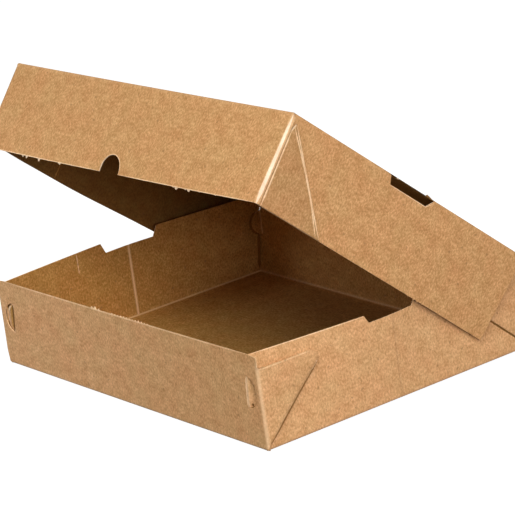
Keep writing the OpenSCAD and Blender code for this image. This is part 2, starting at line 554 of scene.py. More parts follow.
# Side walls: each stands on its own crease along the base, is pulled in at its ends by the web corners,
# and has a vent notch in its rim and a pressed crease down its middle.
LEFT_NOTCH = ((-19.75, 0.0), (-16.75, 6.3), (16.75, 6.3), (19.75, 0.0))
RIGHT_NOTCH = ((-18.2, 0.0), (-15.4, 4.5), (13.4, 3.7), (15.8, 0.0))
NOTCH_WASTE = (3.0, 5.0)
SIDE_END = BASE_D / 2 - BOARD - 0.05
SIDE_TOP = FOLD_LEN + WALL_H - FOLD_TOP
SIDE_LINES = [-3.0, -1.8, -1.2, -0.8, -0.4, 0.0, 0.4, 0.8, 1.6, 3.0]
SIDE_PITCH = 5.0
REAR_GAP = 0.5
REAR_GAP_TOP = 42
LEFT_FOOT_MARK = 0.6
# Painted shade along the right wall's pressed groove, up to 14 per cent darker.
GROOVE_PAINTED_SHADE = -0.14


def side_wall_place(hand):
    def place(p, q):
        if q < FOLD_LEN:
            out, rise = round_fold(q)
            x = SIDE_FLAT + out
            z = BOARD / 2 + rise
        else:
            z = FOLD_TOP + q - FOLD_LEN
            x = side_wall_x(p, z, hand)
        y = p + front_lean(hand * END_HALF, z) * max(0.0, -p / (BASE_D / 2))
        y -= REAR_GAP * max(0.0, p / SIDE_END) ** 6 * math.sin(math.pi * min(1.0, z / REAR_GAP_TOP))
        return hand * x, y, wall_rise(hand * x, y, z)
    return place


def side_wall_crease(hand):
    def crease(p, q):
        if q < FOLD_LEN:
            strength = LEFT_FOOT_MARK if hand < 0 else FRONT_MARK
            return strength * peak(q / FOLD_LEN, 0.5, 0.5)
        # The left wall's inside groove is marked at full strength: pale crushed fibre and painted
        # highlight.
        return peak(p, -0.6, 0.6) if hand < 0 else 0.0
    return crease


def side_wall_painted_shade(hand):
    def tone(p, q):
        return GROOVE_PAINTED_SHADE * peak(p, 0.3, GROOVE_HALF) if hand > 0 and q > FOLD_LEN else 0.0
    return tone


sheets = [strip]
side_fold_lines = rows(0.0, FOLD_LEN, FOLD_STEPS)[1:] + [FOLD_LEN + FOLD_MARGIN]
for hand, label, shape in ((-1, "left", LEFT_NOTCH), (1, "right", RIGHT_NOTCH)):
    wall = flat_sheet(
        "side_wall_" + label,
        (-SIDE_END, 0.0),
        (SIDE_END, SIDE_TOP),
        SIDE_PITCH,
        SIDE_LINES,
        side_fold_lines,
    )
    notch = [(shape[0][0] - NOTCH_WASTE[0], SIDE_TOP + NOTCH_WASTE[1])]
    notch += [(p, SIDE_TOP - sunk) for p, sunk in shape]
    notch.append((shape[-1][0] + NOTCH_WASTE[0], SIDE_TOP + NOTCH_WASTE[1]))
    die_cut(wall, [notch])
    place = side_wall_place(hand)
    fold_sheet(wall, place, TRAY_FINISHES, -hand, side_wall_crease(hand), side_wall_painted_shade(hand))
    sheets.append(wall)

# Inner web layers: the other half of each folded corner, of the same board, lying flat on the side
# wall's outer face under the outer layer, and joined to it along the diagonal fold.
INNER_LIFT = BOARD * 1.05
INNER_LOW = 3.4
INNER_PITCH = 4.0
INNER_WASTE = 4.0


def inner_web_place(hand, side):
    def place(back, z):
        y = -(BASE_D / 2 - back)
        x = side_wall_x(y * -side, z, hand) + INNER_LIFT
        if side < 0:
            y += front_lean(hand * END_HALF, z) * max(0.0, -y / (BASE_D / 2))
            return hand * x, y, wall_rise(hand * x, y, z)
        return hand * x, -y, wall_rise(hand * x, -y, z)
    return place


for hand, side in CORNERS:
    layer = flat_sheet("inner_web", (1.0, 1.0), (WEB_H, WEB_H - 1.2), INNER_PITCH)
    span = WEB_H + WASTE
    tip = web_tip(side)
    below = [(0.0, INNER_LOW), (web_fold_back(INNER_LOW, side), INNER_LOW)]
    below += [(back - 0.3, z - 0.3) for back, z in tip]
    below += [(tip[-1][0], span), (span, span), (span, -INNER_WASTE), (0.0, -INNER_WASTE)]
    die_cut(layer, [below])
    fold_sheet(layer, inner_web_place(hand, side), TRAY_FINISHES, 0)
    sheets.append(layer)

# Lock tongues: half discs cut in the front and hinge walls near each corner and pushed in on their
# straight sides, so that their round edges stop the side walls from folding in.
RIGHT_PUSH = math.radians(24)
LEFT_PUSH = math.radians(8)
BACK_PUSH = math.radians(80)
TONGUE_PITCH = 1.4
TONGUE_LINES = [0.3, 0.7, 1.1]
TONGUE_MARK = 0.6
TONGUE_ROOT = 0.4
TONGUE_BEND = 2.6
TONGUE_WASTE = 2.0


def tongue_place(hand, side, push):
    root_x, root_z, _, tilt = tongue_spot(hand, side)

    def place(out, up):
        turned = push * ease((out + TONGUE_ROOT) / TONGUE_BEND)
        reach = out * math.cos(turned)
        z = root_z + up * math.cos(tilt) + reach * math.sin(tilt)
        lean = front_lean(hand * root_x, z) if side < 0 else 0.0
        pull = end_pull(hand, side, z) * root_x / CORNER_AT
        x = root_x - pull + reach * math.cos(tilt) - up * math.sin(tilt)
        y = BASE_D / 2 - BOARD / 2 - lean - out * math.sin(turned)
        return hand * x, side * y, wall_rise(hand * x, side * y, z)
    return place


def tongue_crease(out, up):
    return TONGUE_MARK * peak(out, 0.3, 0.8)


for hand, side in CORNERS:
    radius = tongue_spot(hand, side)[2]
    tongue = flat_sheet("tongue", (-0.02, -radius), (radius, radius), TONGUE_PITCH, TONGUE_LINES)
    rim = radius - TONGUE_SLIT
    far = radius + TONGUE_WASTE
    waste = [(-1.0, -far), (-1.0, -rim), (0.0, -rim)]
    waste += half_disc((0.0, 0.0), rim)[1:24]
    waste += [(0.0, rim), (-1.0, rim), (-1.0, far), (far, far), (far, -far)]
    die_cut(tongue, [waste])
    push = BACK_PUSH
    if side < 0:
        push = RIGHT_PUSH if hand > 0 else LEFT_PUSH
    fold_sheet(tongue, tongue_place(hand, side, push), TRAY_FINISHES, hand * side, tongue_crease)
    sheets.append(tongue)

# Edges of the tray, laid on the board as thin ribbons: the webs' cut tops and the walls' rims, worn where
# the pale core of the board shows; a painted highlight at the webs' fold ends; painted shadow under the
# webs' folds; and painted shade in the gap at a rear corner.
OUTSIDE = -(BOARD / 2 + 0.05)
RIBBON_STEP = 1.2
RIBBON_TIP = 0.25
RIBBON_TAPER = 6
LINE_TONES = (0.85, 1.0, 1.1)
# Pale wear on cut and rubbed edges; the same colour is used as painted highlight on fold ends, tongue folds
# and web fold lines.
WEAR_AND_HIGHLIGHT = (0.93, 0.645, 0.38)
SHADED = (0.24, 0.125, 0.043)
# Painted shadow under the front webs' folds.
FOLD_SHADOW = (0.33, 0.18, 0.065)
# Painted shade for the rear corner gap and the hinge wall's tongue slit.
RECESS_SHADE = (0.33, 0.145, 0.03)
kraft_wear_and_highlight = board_material("kraft_wear_and_highlight", shades(WEAR_AND_HIGHLIGHT, (0.88, 1.0, 1.1)))
kraft_shaded = board_material("kraft_shaded", shades(SHADED, LINE_TONES), 0.0)
kraft_fold_shadow = board_material("kraft_fold_shadow", shades(FOLD_SHADOW, LINE_TONES), 0.0)
kraft_recess_shade = board_material("kraft_recess_shade", shades(RECESS_SHADE, LINE_TONES), 0.0)


def thin_piece(name, corners, faces, flat, finish):
    mesh = bpy.data.meshes.new(name)
    mesh.from_pydata(corners, [], faces)
    blank = mesh.uv_layers.new(name="blank")
    for loop in mesh.loops:
        blank.data[loop.index].uv = flat[loop.vertex_index]
    mesh.materials.append(finish)
    piece = bpy.data.objects.new(name, mesh)
    bpy.context.scene.collection.objects.link(piece)
    return piece


def line_ribbon(points, width, place, lift, finish, cross=1):
    path = []
    for start, end in zip(points, points[1:]):
        count = max(1, round(math.dist(start, end) / RIBBON_STEP))
        for k in range(count):
            share = k / count
            path.append((start[0] + share * (end[0] - start[0]), start[1] + share * (end[1] - start[1])))
    path.append(points[-1])
    corners = []
    flat = []
    for k, (u, v) in enumerate(path):
        before = path[max(0, k - 1)]
        after = path[min(len(path) - 1, k + 1)]
        run = (after[0] - before[0], after[1] - before[1])
        size = math.hypot(*run)
        share = k / (len(path) - 1)
        half = (width[0] + share * (width[1] - width[0])) / 2
        half *= min(1.0, RIBBON_TIP + RIBBON_TAPER * min(share, 1 - share))
        for c in range(cross + 1):
            aside = half * (2 * c / cross - 1)
            a = u - aside * run[1] / size
            b = v + aside * run[0] / size
            corners.append(on_sheet(place, a, b, lift))
            flat.append((a * MM, b * MM))
    row = cross + 1
    faces = []
    for k in range(len(path) - 1):
        for c in range(cross):
            quad = [k * row + c, k * row + c + 1, (k + 1) * row + c + 1, (k + 1) * row + c]
            faces.append(quad if lift < 0 else quad[::-1])
    return thin_piece("line_ribbon", corners, faces, flat, finish)


for hand, side in CORNERS:
    top_edge = [(web_u(CORNER_R + 0.2), WEB_H - 0.5), (web_u(web_tip(side)[-1][0] + 1.0), WEB_H - 0.5)]
    top_edge = [(hand * u, side * wall_v(z)) for u, z in top_edge]
    sheets.append(line_ribbon(top_edge, (0.7, 0.6), strip_place, OUTSIDE, kraft_rim))
    # Painted highlight on the rounded upper end of each web's fold.
    fold_end = [(web_u(web_fold_back(z, side) - 0.9), z) for z in (36.6, 32.6)]
    fold_end = [(hand * u, side * wall_v(z)) for u, z in fold_end]
    sheets.append(line_ribbon(fold_end, (1.2, 0.5), strip_place, OUTSIDE, kraft_wear_and_highlight))
    # Painted shadow on the side wall along each web's diagonal fold.
    under = [(web_fold_back(z, side), z) for z in (4.0, 20.0, 36.0, 38.0)]
    inset = 0.8 if side < 0 else 0.15
    under = [(side * (BASE_D / 2 - back - inset), FOLD_LEN + z - inset - FOLD_TOP) for back, z in under]
    finish = kraft_fold_shadow if side < 0 else kraft_shaded
    sheets.append(line_ribbon(under, (1.4, 2.4), side_wall_place(hand), -hand * OUTSIDE, finish))

short_crease = [(-37.8, FOLD_LEN + 48.0), (-37.2, FOLD_LEN + 36.0)]
sheets.append(line_ribbon(short_crease, (0.6, 0.4), side_wall_place(-1), -OUTSIDE, kraft_wear_and_highlight))
# Painted shade in the gap between the left wall's rear edge and the hinge wall.
crevice = [(SIDE_END - 0.8, FOLD_LEN + 1.5), (SIDE_END - 0.8, FOLD_LEN + 24.0)]
sheets.append(line_ribbon(crevice, (2.1, 2.1), side_wall_place(-1), -OUTSIDE, kraft_recess_shade))
for start, end in ((-SIDE_END + 1.0, RIGHT_NOTCH[0][0]), (RIGHT_NOTCH[-1][0], SIDE_END - 1.0)):
    rim_line = [(start, SIDE_TOP - 0.25), (end, SIDE_TOP - 0.25)]
    sheets.append(line_ribbon(rim_line, (0.45, 0.45), side_wall_place(1), -OUTSIDE, kraft_wear_and_highlight))
front_rim = [(-END_HALF + 9.0, -wall_v(WALL_H) + 0.25), (END_HALF - 8.0, -wall_v(WALL_H) + 0.25)]
sheets.append(line_ribbon(front_rim, (0.4, 0.4), strip_place, OUTSIDE, kraft_wear_and_highlight))

# Marks at the lock tongues: a dark spot at the front right one and a painted highlight along its fold,
# painted shade and a painted highlight along the round edge inside the front left one, and painted shade in
# the slit round the hinge wall's left one.
DARK_SPOT = ((112.3, 23.1), (114.0, 23.8))
dark_spot = [(u, -wall_v(z)) for u, z in DARK_SPOT]
sheets.append(line_ribbon(dark_spot, (1.6, 1.6), strip_place, OUTSIDE, kraft_shaded))
# Painted highlight along the front right tongue's fold.
fold = []
for rise in (-7.4, 7.6):
    fold.append((RIGHT_TONGUE_AT - rise * math.sin(RIGHT_TURN) - 0.2, -wall_v(RIGHT_TONGUE_UP + rise)))
sheets.append(line_ribbon(fold, (1.2, 1.2), strip_place, OUTSIDE, kraft_wear_and_highlight))
# Front left tongue: painted shade bands and a painted highlight along its round edge.
left_place = tongue_place(-1, -1, LEFT_PUSH)
left_middle = [(2.5, -6.2), (2.5, 7.4)]
sheets.append(line_ribbon(left_middle, (3.2, 3.2), left_place, OUTSIDE, kraft_inside_shaded, 4))
left_root = [(0.9, -8.0), (0.9, 8.0)]
sheets.append(line_ribbon(left_root, (1.9, 1.9), left_place, OUTSIDE - 0.05, kraft_shaded, 4))
for inset, width, finish in ((0.4, 1.3, kraft_shaded), (1.8, 1.4, kraft_wear_and_highlight)):
    left_arc = half_disc((0.0, 0.0), LEFT_TONGUE_R - inset)[7:22]
    sheets.append(line_ribbon(left_arc, (width, width), left_place, OUTSIDE - 0.1, finish))
# Painted shade in the slit round the hinge wall's left tongue, on both faces.
slit_place = tongue_place(-1, 1, BACK_PUSH)
slit_arc = half_disc((0.0, 0.0), BACK_TONGUE_R + 0.2)[3:21]
for lift in (OUTSIDE, -OUTSIDE):
    sheets.append(line_ribbon(slit_arc, (1.3, 1.3), slit_place, lift, kraft_recess_shade))

# Frayed rim of the front wall: three torn bumps and a row of small beads of fibre left by a blunt die.
# Each tooth is a small tapered block of board on the cut edge.
TOOTH_HALF = 0.2
TOOTH_SIDES = ((3, 2, 1, 0), (4, 5, 6, 7), (0, 1, 5, 4), (1, 2, 6, 5), (2, 3, 7, 6), (3, 0, 4, 7))


def fray(teeth, edge, outward, place, finish):
    corners = []
    faces = []
    flat = []
    for at, width, length, skew in teeth:
        first = len(corners)
        spots = (
            (at - width / 2, -0.2),
            (at + width / 2, -0.2),
            (at + width * 0.22 + skew, length),
            (at + skew, length * 0.8),
        )
        for lift in (-TOOTH_HALF, TOOTH_HALF):
            for u, reach in spots:
                v = edge + outward * reach
                corners.append(on_sheet(place, u, v, lift))
                flat.append((u * MM, v * MM))
        for quad in TOOTH_SIDES:
            turned = quad if outward > 0 else quad[::-1]
            faces.append([first + k for k in turned])
    return thin_piece("fray", corners, faces, flat, finish)


def join_sheets(name, parts):
    pick(parts[0])
    for part in parts:
        part.select_set(True)
    bpy.ops.object.join()
    parts[0].name = name
    parts[0].data.name = name
    return parts[0]


rim_teeth = [(-27.0, 2.2, 1.1, 0.2), (-23.6, 2.8, 1.6, -0.3), (-20.4, 1.8, 0.9, 0.2)]
for k in range(13):
    rim_teeth.append((-8.0 + 2.75 * k, 1.6, 0.6 + 0.2 * math.sin(5.1 * k), 0.1))
sheets.append(fray(rim_teeth, -wall_v(WALL_H), -1, strip_place, kraft_wear_and_highlight))

tray_board = join_sheets("tray_board", sheets)
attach(tray_board, "tray")
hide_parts("tray")

# Lid strip: top panel and front flange in one run of the same board, with the outer web layers at the
# flange's ends. The front edge turns down on a rounded crease, and the thumb notch is cut in the
# flange's lower edge. The lid hangs a little lower on its left.
KRAFT_DARK = (0.467, 0.238, 0.087, 1.0)
KRAFT_MID = (0.590, 0.322, 0.133, 1.0)
KRAFT_LIGHT = (0.745, 0.437, 0.203, 1.0)
CUT_PALE = (0.78, 0.60, 0.42)
# The lid's inside is about half as bright as its outer face: painted shade of its dim underside.
LID_INSIDE_SHADED = (0.290, 0.150, 0.042)
# Near black: painted shade on the cut faces at the top of the vent slot.
CREVICE_SHADE = (0.07, 0.035, 0.014)
kraft_face = board_material("kraft_face", (KRAFT_DARK, KRAFT_MID, KRAFT_LIGHT))
kraft_cut = board_material("kraft_cut", shades(CUT_PALE, (0.84, 0.95, 1.05)))
lid_inside_shades = shades(LID_INSIDE_SHADED, (0.74, 1.0, 1.24))
kraft_lid_inside_shaded = board_material("kraft_lid_inside_shaded", lid_inside_shades, INSIDE_SHEEN)
kraft_crevice_shade = board_material("kraft_crevice_shade", shades(CREVICE_SHADE, LINE_TONES), 0.0)
LID_FINISHES = (kraft_face, kraft_cut, kraft_lid_inside_shaded, kraft_crevice_shade)

HINGE_Y = BASE_D / 2 - BOARD / 2
HINGE_Z = WALL_H + 0.8
LID_OPEN = 39.8
LID_TWIST = 0.77
LID_LEN = HINGE_Y + BASE_D / 2 + 1.5 + BOARD
LID_HALF = END_HALF + 2.0 + BOARD
LID_SPARE = 49.0
FLANGE_H = 49.6
LOWER = FLANGE_H - BOARD / 2
FLANGE_LEAN = 0.6
FLANGE_BOW = 0.8
FRONT_TUCK = 1.3
LEFT_REACH = 0.8
LEFT_DROP = 1.2
LEFT_DROP_RUN = 6
LEFT_RISE = 1.7
RISE_DIP = 0.9
DIP_AT = 112
DIP_HALF = 35
TURN_UP_FROM = 150
TURN_UP_RUN = 30
PANEL_START = 1.6
PANEL_FLAT = LID_LEN - BOARD / 2 - FOLD_R
PANEL_SAG = 0.25
FRONT_CREASE_MARK = 0.12
LID_SIDE_FLAT = LID_HALF - BOARD / 2 - FOLD_R
LID_CORNER_R = 1.9
LID_CORNER_ARC = LID_CORNER_R * math.pi / 2
LID_CORNER_STEPS = 6
LID_END_HALF = LID_HALF + 2 * BOARD
LID_CORNER_AT = LID_END_HALF - BOARD / 2 - LID_CORNER_R
LID_CORNER_END = LID_CORNER_AT + LID_CORNER_ARC
# Lid crease marks: pale crushed fibre and painted highlight.
LID_CORNER_MARK = 0.3
BESIDE_CORNER = (0.5, 1.0, 1.5, 2.0, 2.6)
THUMB_R = 8.5
THUMB_DEPTH = 10.1
THUMB_AT = -4.4
THUMB_SKEW = 1.8
WEB_APEX = 9.0
# Painted shade: the lid's outer web layers are coloured 12 per cent darker.
LID_WEB_PAINTED_SHADE = -0.12
LID_WEB_SLOPE = 0.955
LID_WEB_OFFSET = 0.2
LID_STAND_OFF = 1.7 * BOARD
LID_TUCK = 0.1
LID_TUCK_RUN = 0.8


def lid_turn(x, y, z):
    x -= LEFT_REACH * max(0.0, -x / LID_HALF) ** 2
    angle = math.radians(LID_OPEN + LID_TWIST * x / LID_HALF)
    return (
        x,
        HINGE_Y + y * math.cos(angle) + z * math.sin(angle),
        HINGE_Z - y * math.sin(angle) + z * math.cos(angle),
    )


def left_rise(p):
    turn_up = RISE_DIP * ease((p - TURN_UP_FROM) / TURN_UP_RUN)
    return LEFT_RISE - RISE_DIP * peak(p, DIP_AT, DIP_HALF) + turn_up


def flange_v(depth):
    return PANEL_FLAT + FOLD_LEN + depth - FOLD_R


def side_flange_x(depth):
    return LID_HALF - BOARD / 2 - FLANGE_LEAN * depth / FLANGE_H


def lid_fold_back(depth):
    return depth * LID_WEB_SLOPE + LID_WEB_OFFSET


def lid_web_u(back):
    return LID_CORNER_END + back - LID_CORNER_R


def lid_strip_place(u, v):
    run = v - PANEL_FLAT
    middle = max(0.0, 1 - (u / LID_SIDE_FLAT) ** 2)
    sag = PANEL_SAG * middle * ease(v / PANEL_FLAT)
    if run <= 0.0:
        return lid_turn(u, -v, -sag)
    if run < FOLD_LEN:
        out, depth = round_fold(run)
        y = -(PANEL_FLAT + out)
    else:
        y = -(LID_LEN - BOARD / 2)
        depth = FOLD_R + run - FOLD_LEN
    bend = ease((depth - 0.2) / 1.4)
    along, back = wrap_corner(abs(u) - LID_CORNER_AT, LID_CORNER_R, bend)
    x = LID_CORNER_AT + along
    if back > LID_CORNER_R and bend > 0.99:
        corner_x = LID_CORNER_AT + LID_CORNER_R
        fold_at = lid_fold_back(depth)
        reach = min(1.0, (back - LID_CORNER_R) / max(2.0, fold_at - LID_CORNER_R))
        lies_at = side_flange_x(depth) + LID_STAND_OFF
        x = corner_x + reach * (lies_at - corner_x)
        x -= LID_TUCK * ease((back - (fold_at - LID_TUCK_RUN)) / LID_TUCK_RUN)
        if u < 0:
            depth *= 1 - left_rise(LID_LEN - back) / FLANGE_H * ease(back / LEFT_DROP_RUN)
    drop = LEFT_DROP * max(0.0, -u / LID_HALF) * (1 - ease(back / LEFT_DROP_RUN))
    y += FRONT_TUCK * depth / FLANGE_H + back
    depth += (FLANGE_BOW * middle + drop) * depth / FLANGE_H + sag
    return lid_turn(math.copysign(x, u), y, -depth)


def lid_offcuts():
    outline = [
        (LID_SIDE_FLAT, -WASTE),
        (LID_SIDE_FLAT, PANEL_FLAT),
        (LID_END_HALF - 1.6, PANEL_FLAT + 0.05),
        (LID_CORNER_END + 0.1, flange_v(FOLD_R + 1.2)),
        (LID_CORNER_END + 0.1, flange_v(WEB_APEX + 1.0)),
        (lid_web_u(2.4), flange_v(WEB_APEX - 0.6)),
        (lid_web_u(3.0), flange_v(WEB_APEX - 2.4)),
        (lid_web_u(4.0), flange_v(WEB_APEX - 4.6)),
        (lid_web_u(lid_fold_back(LOWER)), flange_v(LOWER)),
        (lid_web_u(lid_fold_back(LOWER)), flange_v(LOWER) + WASTE),
        (lid_web_u(LOWER) + WASTE, flange_v(LOWER) + WASTE),
        (lid_web_u(LOWER) + WASTE, -WASTE),
    ]
    return [[(hand * u, v) for u, v in outline] for hand in (-1, 1)]


def thumb_notch(radius, reach):
    edge = flange_v(LOWER)
    centre = edge - (THUMB_DEPTH - THUMB_R)
    points = [(radius, edge + reach), (radius, centre)]
    for k in range(1, 24):
        angle = math.radians(7.5 * k)
        points.append((radius * math.cos(angle), centre - radius * math.sin(angle)))
    points += [(-radius, centre), (-radius, edge + reach)]
    return [(THUMB_AT + u + THUMB_SKEW * (1 + (v - edge) / THUMB_DEPTH), v) for u, v in points]


def lid_strip_painted_shade(u, v):
    past = abs(u) - LID_CORNER_AT - LID_CORNER_ARC
    return LID_WEB_PAINTED_SHADE * ease(past / 2.0) if v > PANEL_FLAT + FOLD_LEN else 0.0


def lid_strip_crease(u, v):
    run = v - PANEL_FLAT
    mark = FRONT_CREASE_MARK * peak(run / FOLD_LEN, 0.5, 0.5)
    past = abs(u) - LID_CORNER_AT - LID_CORNER_ARC
    if FOLD_R + run - FOLD_LEN > 0 and -LID_CORNER_ARC < past < 0:
        mark = max(mark, LID_CORNER_MARK)
    return mark


def lid_web_field(u, v):
    return abs(u) > LID_CORNER_END + BESIDE_CORNER[-1] and v > PANEL_FLAT + FOLD_LEN


front_fold_lines = rows(PANEL_FLAT, FOLD_LEN, FOLD_STEPS)
front_fold_lines += [PANEL_FLAT - FOLD_MARGIN, PANEL_FLAT + FOLD_LEN + FOLD_MARGIN]
lid_corner_lines = rows(LID_CORNER_AT, LID_CORNER_ARC, LID_CORNER_STEPS)
lid_corner_lines += [LID_CORNER_AT - CORNER_MARGIN]
lid_corner_lines += [LID_CORNER_END + beside for beside in BESIDE_CORNER]
lid_strip = flat_sheet(
    "lid_board",
    (-(LID_END_HALF + LID_SPARE), PANEL_START),
    (LID_END_HALF + LID_SPARE, flange_v(LOWER)),
    STRIP_PITCH,
    [hand * u for hand in (-1, 1) for u in lid_corner_lines],
    front_fold_lines,
    lid_web_field,
)
die_cut(lid_strip, lid_offcuts() + [thumb_notch(THUMB_R, 4.0)])
fold_sheet(lid_strip, lid_strip_place, LID_FINISHES, 1, lid_strip_crease, lid_strip_painted_shade)

# Lid side flanges: turned down along the panel's sides, cut back at the hinge, with a vent slot
# at the crease that meets the tray's notch when the lid is shut.
SLOT_LEN = 35.0
SLOT_DEPTH = 5.0
SLOT_TAPER = (4.9, 2.4)
SLOT_MID = HINGE_Y + 0.6
SLOT_TOP = FOLD_LEN * 0.06
SLOT_LOW = FOLD_LEN + SLOT_DEPTH - FOLD_R
CUT_BACK = 2.9
REAR_DROP = 0.7
REAR_LEAN = 1.7
REAR_LEAN_RUN = 70
FLANGE_START = 0.8
FLANGE_END = LID_LEN - BOARD - 0.4
FLANGE_FOOT = FOLD_LEN + FLANGE_H - BOARD / 2 - FOLD_R


def side_flange_place(hand):
    def place(p, q):
        if q < FOLD_LEN:
            out, depth = round_fold(q)
            x = LID_SIDE_FLAT + out
        else:
            depth = FOLD_R + q - FOLD_LEN
            depth *= 1 + REAR_DROP / FLANGE_H * (1 - p / LID_LEN)
            depth *= 1 - (left_rise(p) / FLANGE_H if hand < 0 else 0.0)
            x = side_flange_x(depth) - REAR_LEAN * depth / FLANGE_H * ease(1 - p / REAR_LEAN_RUN)
        tuck = FRONT_TUCK * depth / FLANGE_H * ease(p / LID_LEN * 2 - 1)
        return lid_turn(hand * x, -p + tuck, -depth)
    return place


def slot_top_edge(p, q):
    return abs(p - SLOT_MID) < SLOT_LEN / 2 and abs(q - SLOT_TOP) < 0.05


lid_sheets = [lid_strip]
for hand, label in ((-1, "left"), (1, "right")):
    flange = flat_sheet(
        "side_flange_" + label,
        (FLANGE_START, 0.0),
        (FLANGE_END, FLANGE_FOOT),
        SIDE_PITCH,
        [],
        side_fold_lines,
    )
    rear = [
        (-2.0, -2.0),
        (FLANGE_START + 0.1, -2.0),
        (FLANGE_START + 0.1, FOLD_LEN),
        (CUT_BACK, FLANGE_FOOT),
        (CUT_BACK, FLANGE_FOOT + 3),
        (-2.0, FLANGE_FOOT + 3),
    ]
    slot = [
        (SLOT_MID - SLOT_LEN / 2, SLOT_TOP),
        (SLOT_MID - SLOT_LEN / 2 + SLOT_TAPER[0], SLOT_LOW),
        (SLOT_MID + SLOT_LEN / 2 - SLOT_TAPER[1], SLOT_LOW),
        (SLOT_MID + SLOT_LEN / 2, SLOT_TOP),
    ]
    die_cut(flange, [rear, slot])
    # The slot's top cut faces get the near-black painted shade finish.
    fold_sheet(flange, side_flange_place(hand), LID_FINISHES, -hand, shaded_cut=slot_top_edge)
    lid_sheets.append(flange)

# Inner layers of the lid's web corners: the same board, folded back along the web's diagonal, and
# lying between the side flange and the outer layer.
LID_INNER_LIFT = BOARD * 0.9
LID_INNER_INSET = 0.7


def lid_inner_web_place(hand):
    def place(back, depth):
        y = -(LID_LEN - back) + FRONT_TUCK * depth / FLANGE_H
        rise = left_rise(LID_LEN - back) / FLANGE_H * ease(back / LEFT_DROP_RUN) if hand < 0 else 0.0
        return lid_turn(hand * (side_flange_x(depth) + LID_INNER_LIFT), y, -depth * (1 - rise))
    return place


for hand in (-1, 1):
    layer = flat_sheet("lid_inner_web", (1.5, WEB_APEX), (LOWER - 0.4, LOWER - 0.2), INNER_PITCH)
    span = LOWER + WASTE
    below = [(lid_fold_back(depth) - LID_INNER_INSET, depth) for depth in (-INNER_WASTE, span)]
    below += [(span, -WASTE), (-WASTE, -WASTE)]
    die_cut(layer, [below])
    fold_sheet(layer, lid_inner_web_place(hand), LID_FINISHES, 0)
    lid_sheets.append(layer)

# Worn edges of the lid: the corner creases, cracked open to the pale core, painted brighter as a highlight
# and wider towards the lower edge, with painted shade in the crack beside them; the webs' double fold
# lines, pale with painted highlight; and the rubbed lower edges of the flanges and the thumb notch.
# Pale core of the cracked corner crease, painted brighter as a highlight.
CORE_AND_HIGHLIGHT = (0.92, 0.705, 0.51)
SCORE_SHADE = (0.36, 0.22, 0.11)
kraft_core_and_highlight = board_material("kraft_core_and_highlight", shades(CORE_AND_HIGHLIGHT, (0.93, 1.0, 1.04)))
kraft_score_shade = board_material("kraft_score_shade", shades(SCORE_SHADE, LINE_TONES))
CORNER_BAND_AT = LID_CORNER_AT + LID_CORNER_ARC * 0.45
CORNER_BAND_WIDTH = (1.1, 1.9)
FOLD_DEPTHS = (5.0, 20.0, 34.0, LOWER - 0.2)
SECOND_FOLD = ((6.4, 2.7), (14.0, 1.8), (24.0, 1.0), (34.0, 1.0), (41.0, 1.7), (LOWER - 0.2, 3.0))
EDGE_WIDTH = (0.45, 0.45)


def lid_line(hand, points, width, finish, cross=1):
    marks = [(hand * u, flange_v(depth)) for u, depth in points]
    lid_sheets.append(line_ribbon(marks, width, lid_strip_place, OUTSIDE, finish, cross))


for hand in (-1, 1):
    lid_line(hand, [(CORNER_BAND_AT, FOLD_R - 0.2), (CORNER_BAND_AT + 0.3, LOWER)], CORNER_BAND_WIDTH, kraft_core_and_highlight, 8)
    # Grey line beside the corner band: painted shade in the crease's crack.
    score = [(LID_CORNER_END + 0.1, WEB_APEX + 1), (LID_CORNER_END + 0.5, LOWER)]
    lid_line(hand, score, (0.3, 0.5), kraft_score_shade)
    beside = [(LID_CORNER_END + 0.8, WEB_APEX), (LID_CORNER_END + 1.5, LOWER)]
    lid_line(hand, beside, (0.8, 1.0), kraft_wear_and_highlight)
    apex = [(LID_CORNER_END + 0.75, WEB_APEX + 0.4)]
    apex += [(lid_web_u(3.2), WEB_APEX - 2.2), (lid_web_u(4.2), WEB_APEX - 4.2)]
    lid_line(hand, apex, (0.7, 0.7), kraft_wear_and_highlight)
    # The web's double fold lines: pale crease with painted highlight.
    fold_line = [(lid_web_u(lid_fold_back(depth) - 0.4), depth) for depth in FOLD_DEPTHS]
    lid_line(hand, fold_line, (0.8, 0.75), kraft_wear_and_highlight)
    second_line = [(lid_web_u(lid_fold_back(depth) - inset), depth) for depth, inset in SECOND_FOLD]
    lid_line(hand, second_line, (0.75, 0.75), kraft_wear_and_highlight)

thumb_low = THUMB_AT + THUMB_SKEW
notch_line = thumb_notch(THUMB_R + 0.2, 0.0)[::-1]
lid_sheets.append(line_ribbon(notch_line, EDGE_WIDTH, lid_strip_place, OUTSIDE, kraft_wear_and_highlight))
for start, end in ((-LID_CORNER_AT, thumb_low - THUMB_R), (thumb_low + THUMB_R, LID_CORNER_AT)):
    edge_line = [(start, flange_v(LOWER) - 0.2), (end, flange_v(LOWER) - 0.2)]
    lid_sheets.append(line_ribbon(edge_line, EDGE_WIDTH, lid_strip_place, OUTSIDE, kraft_wear_and_highlight))

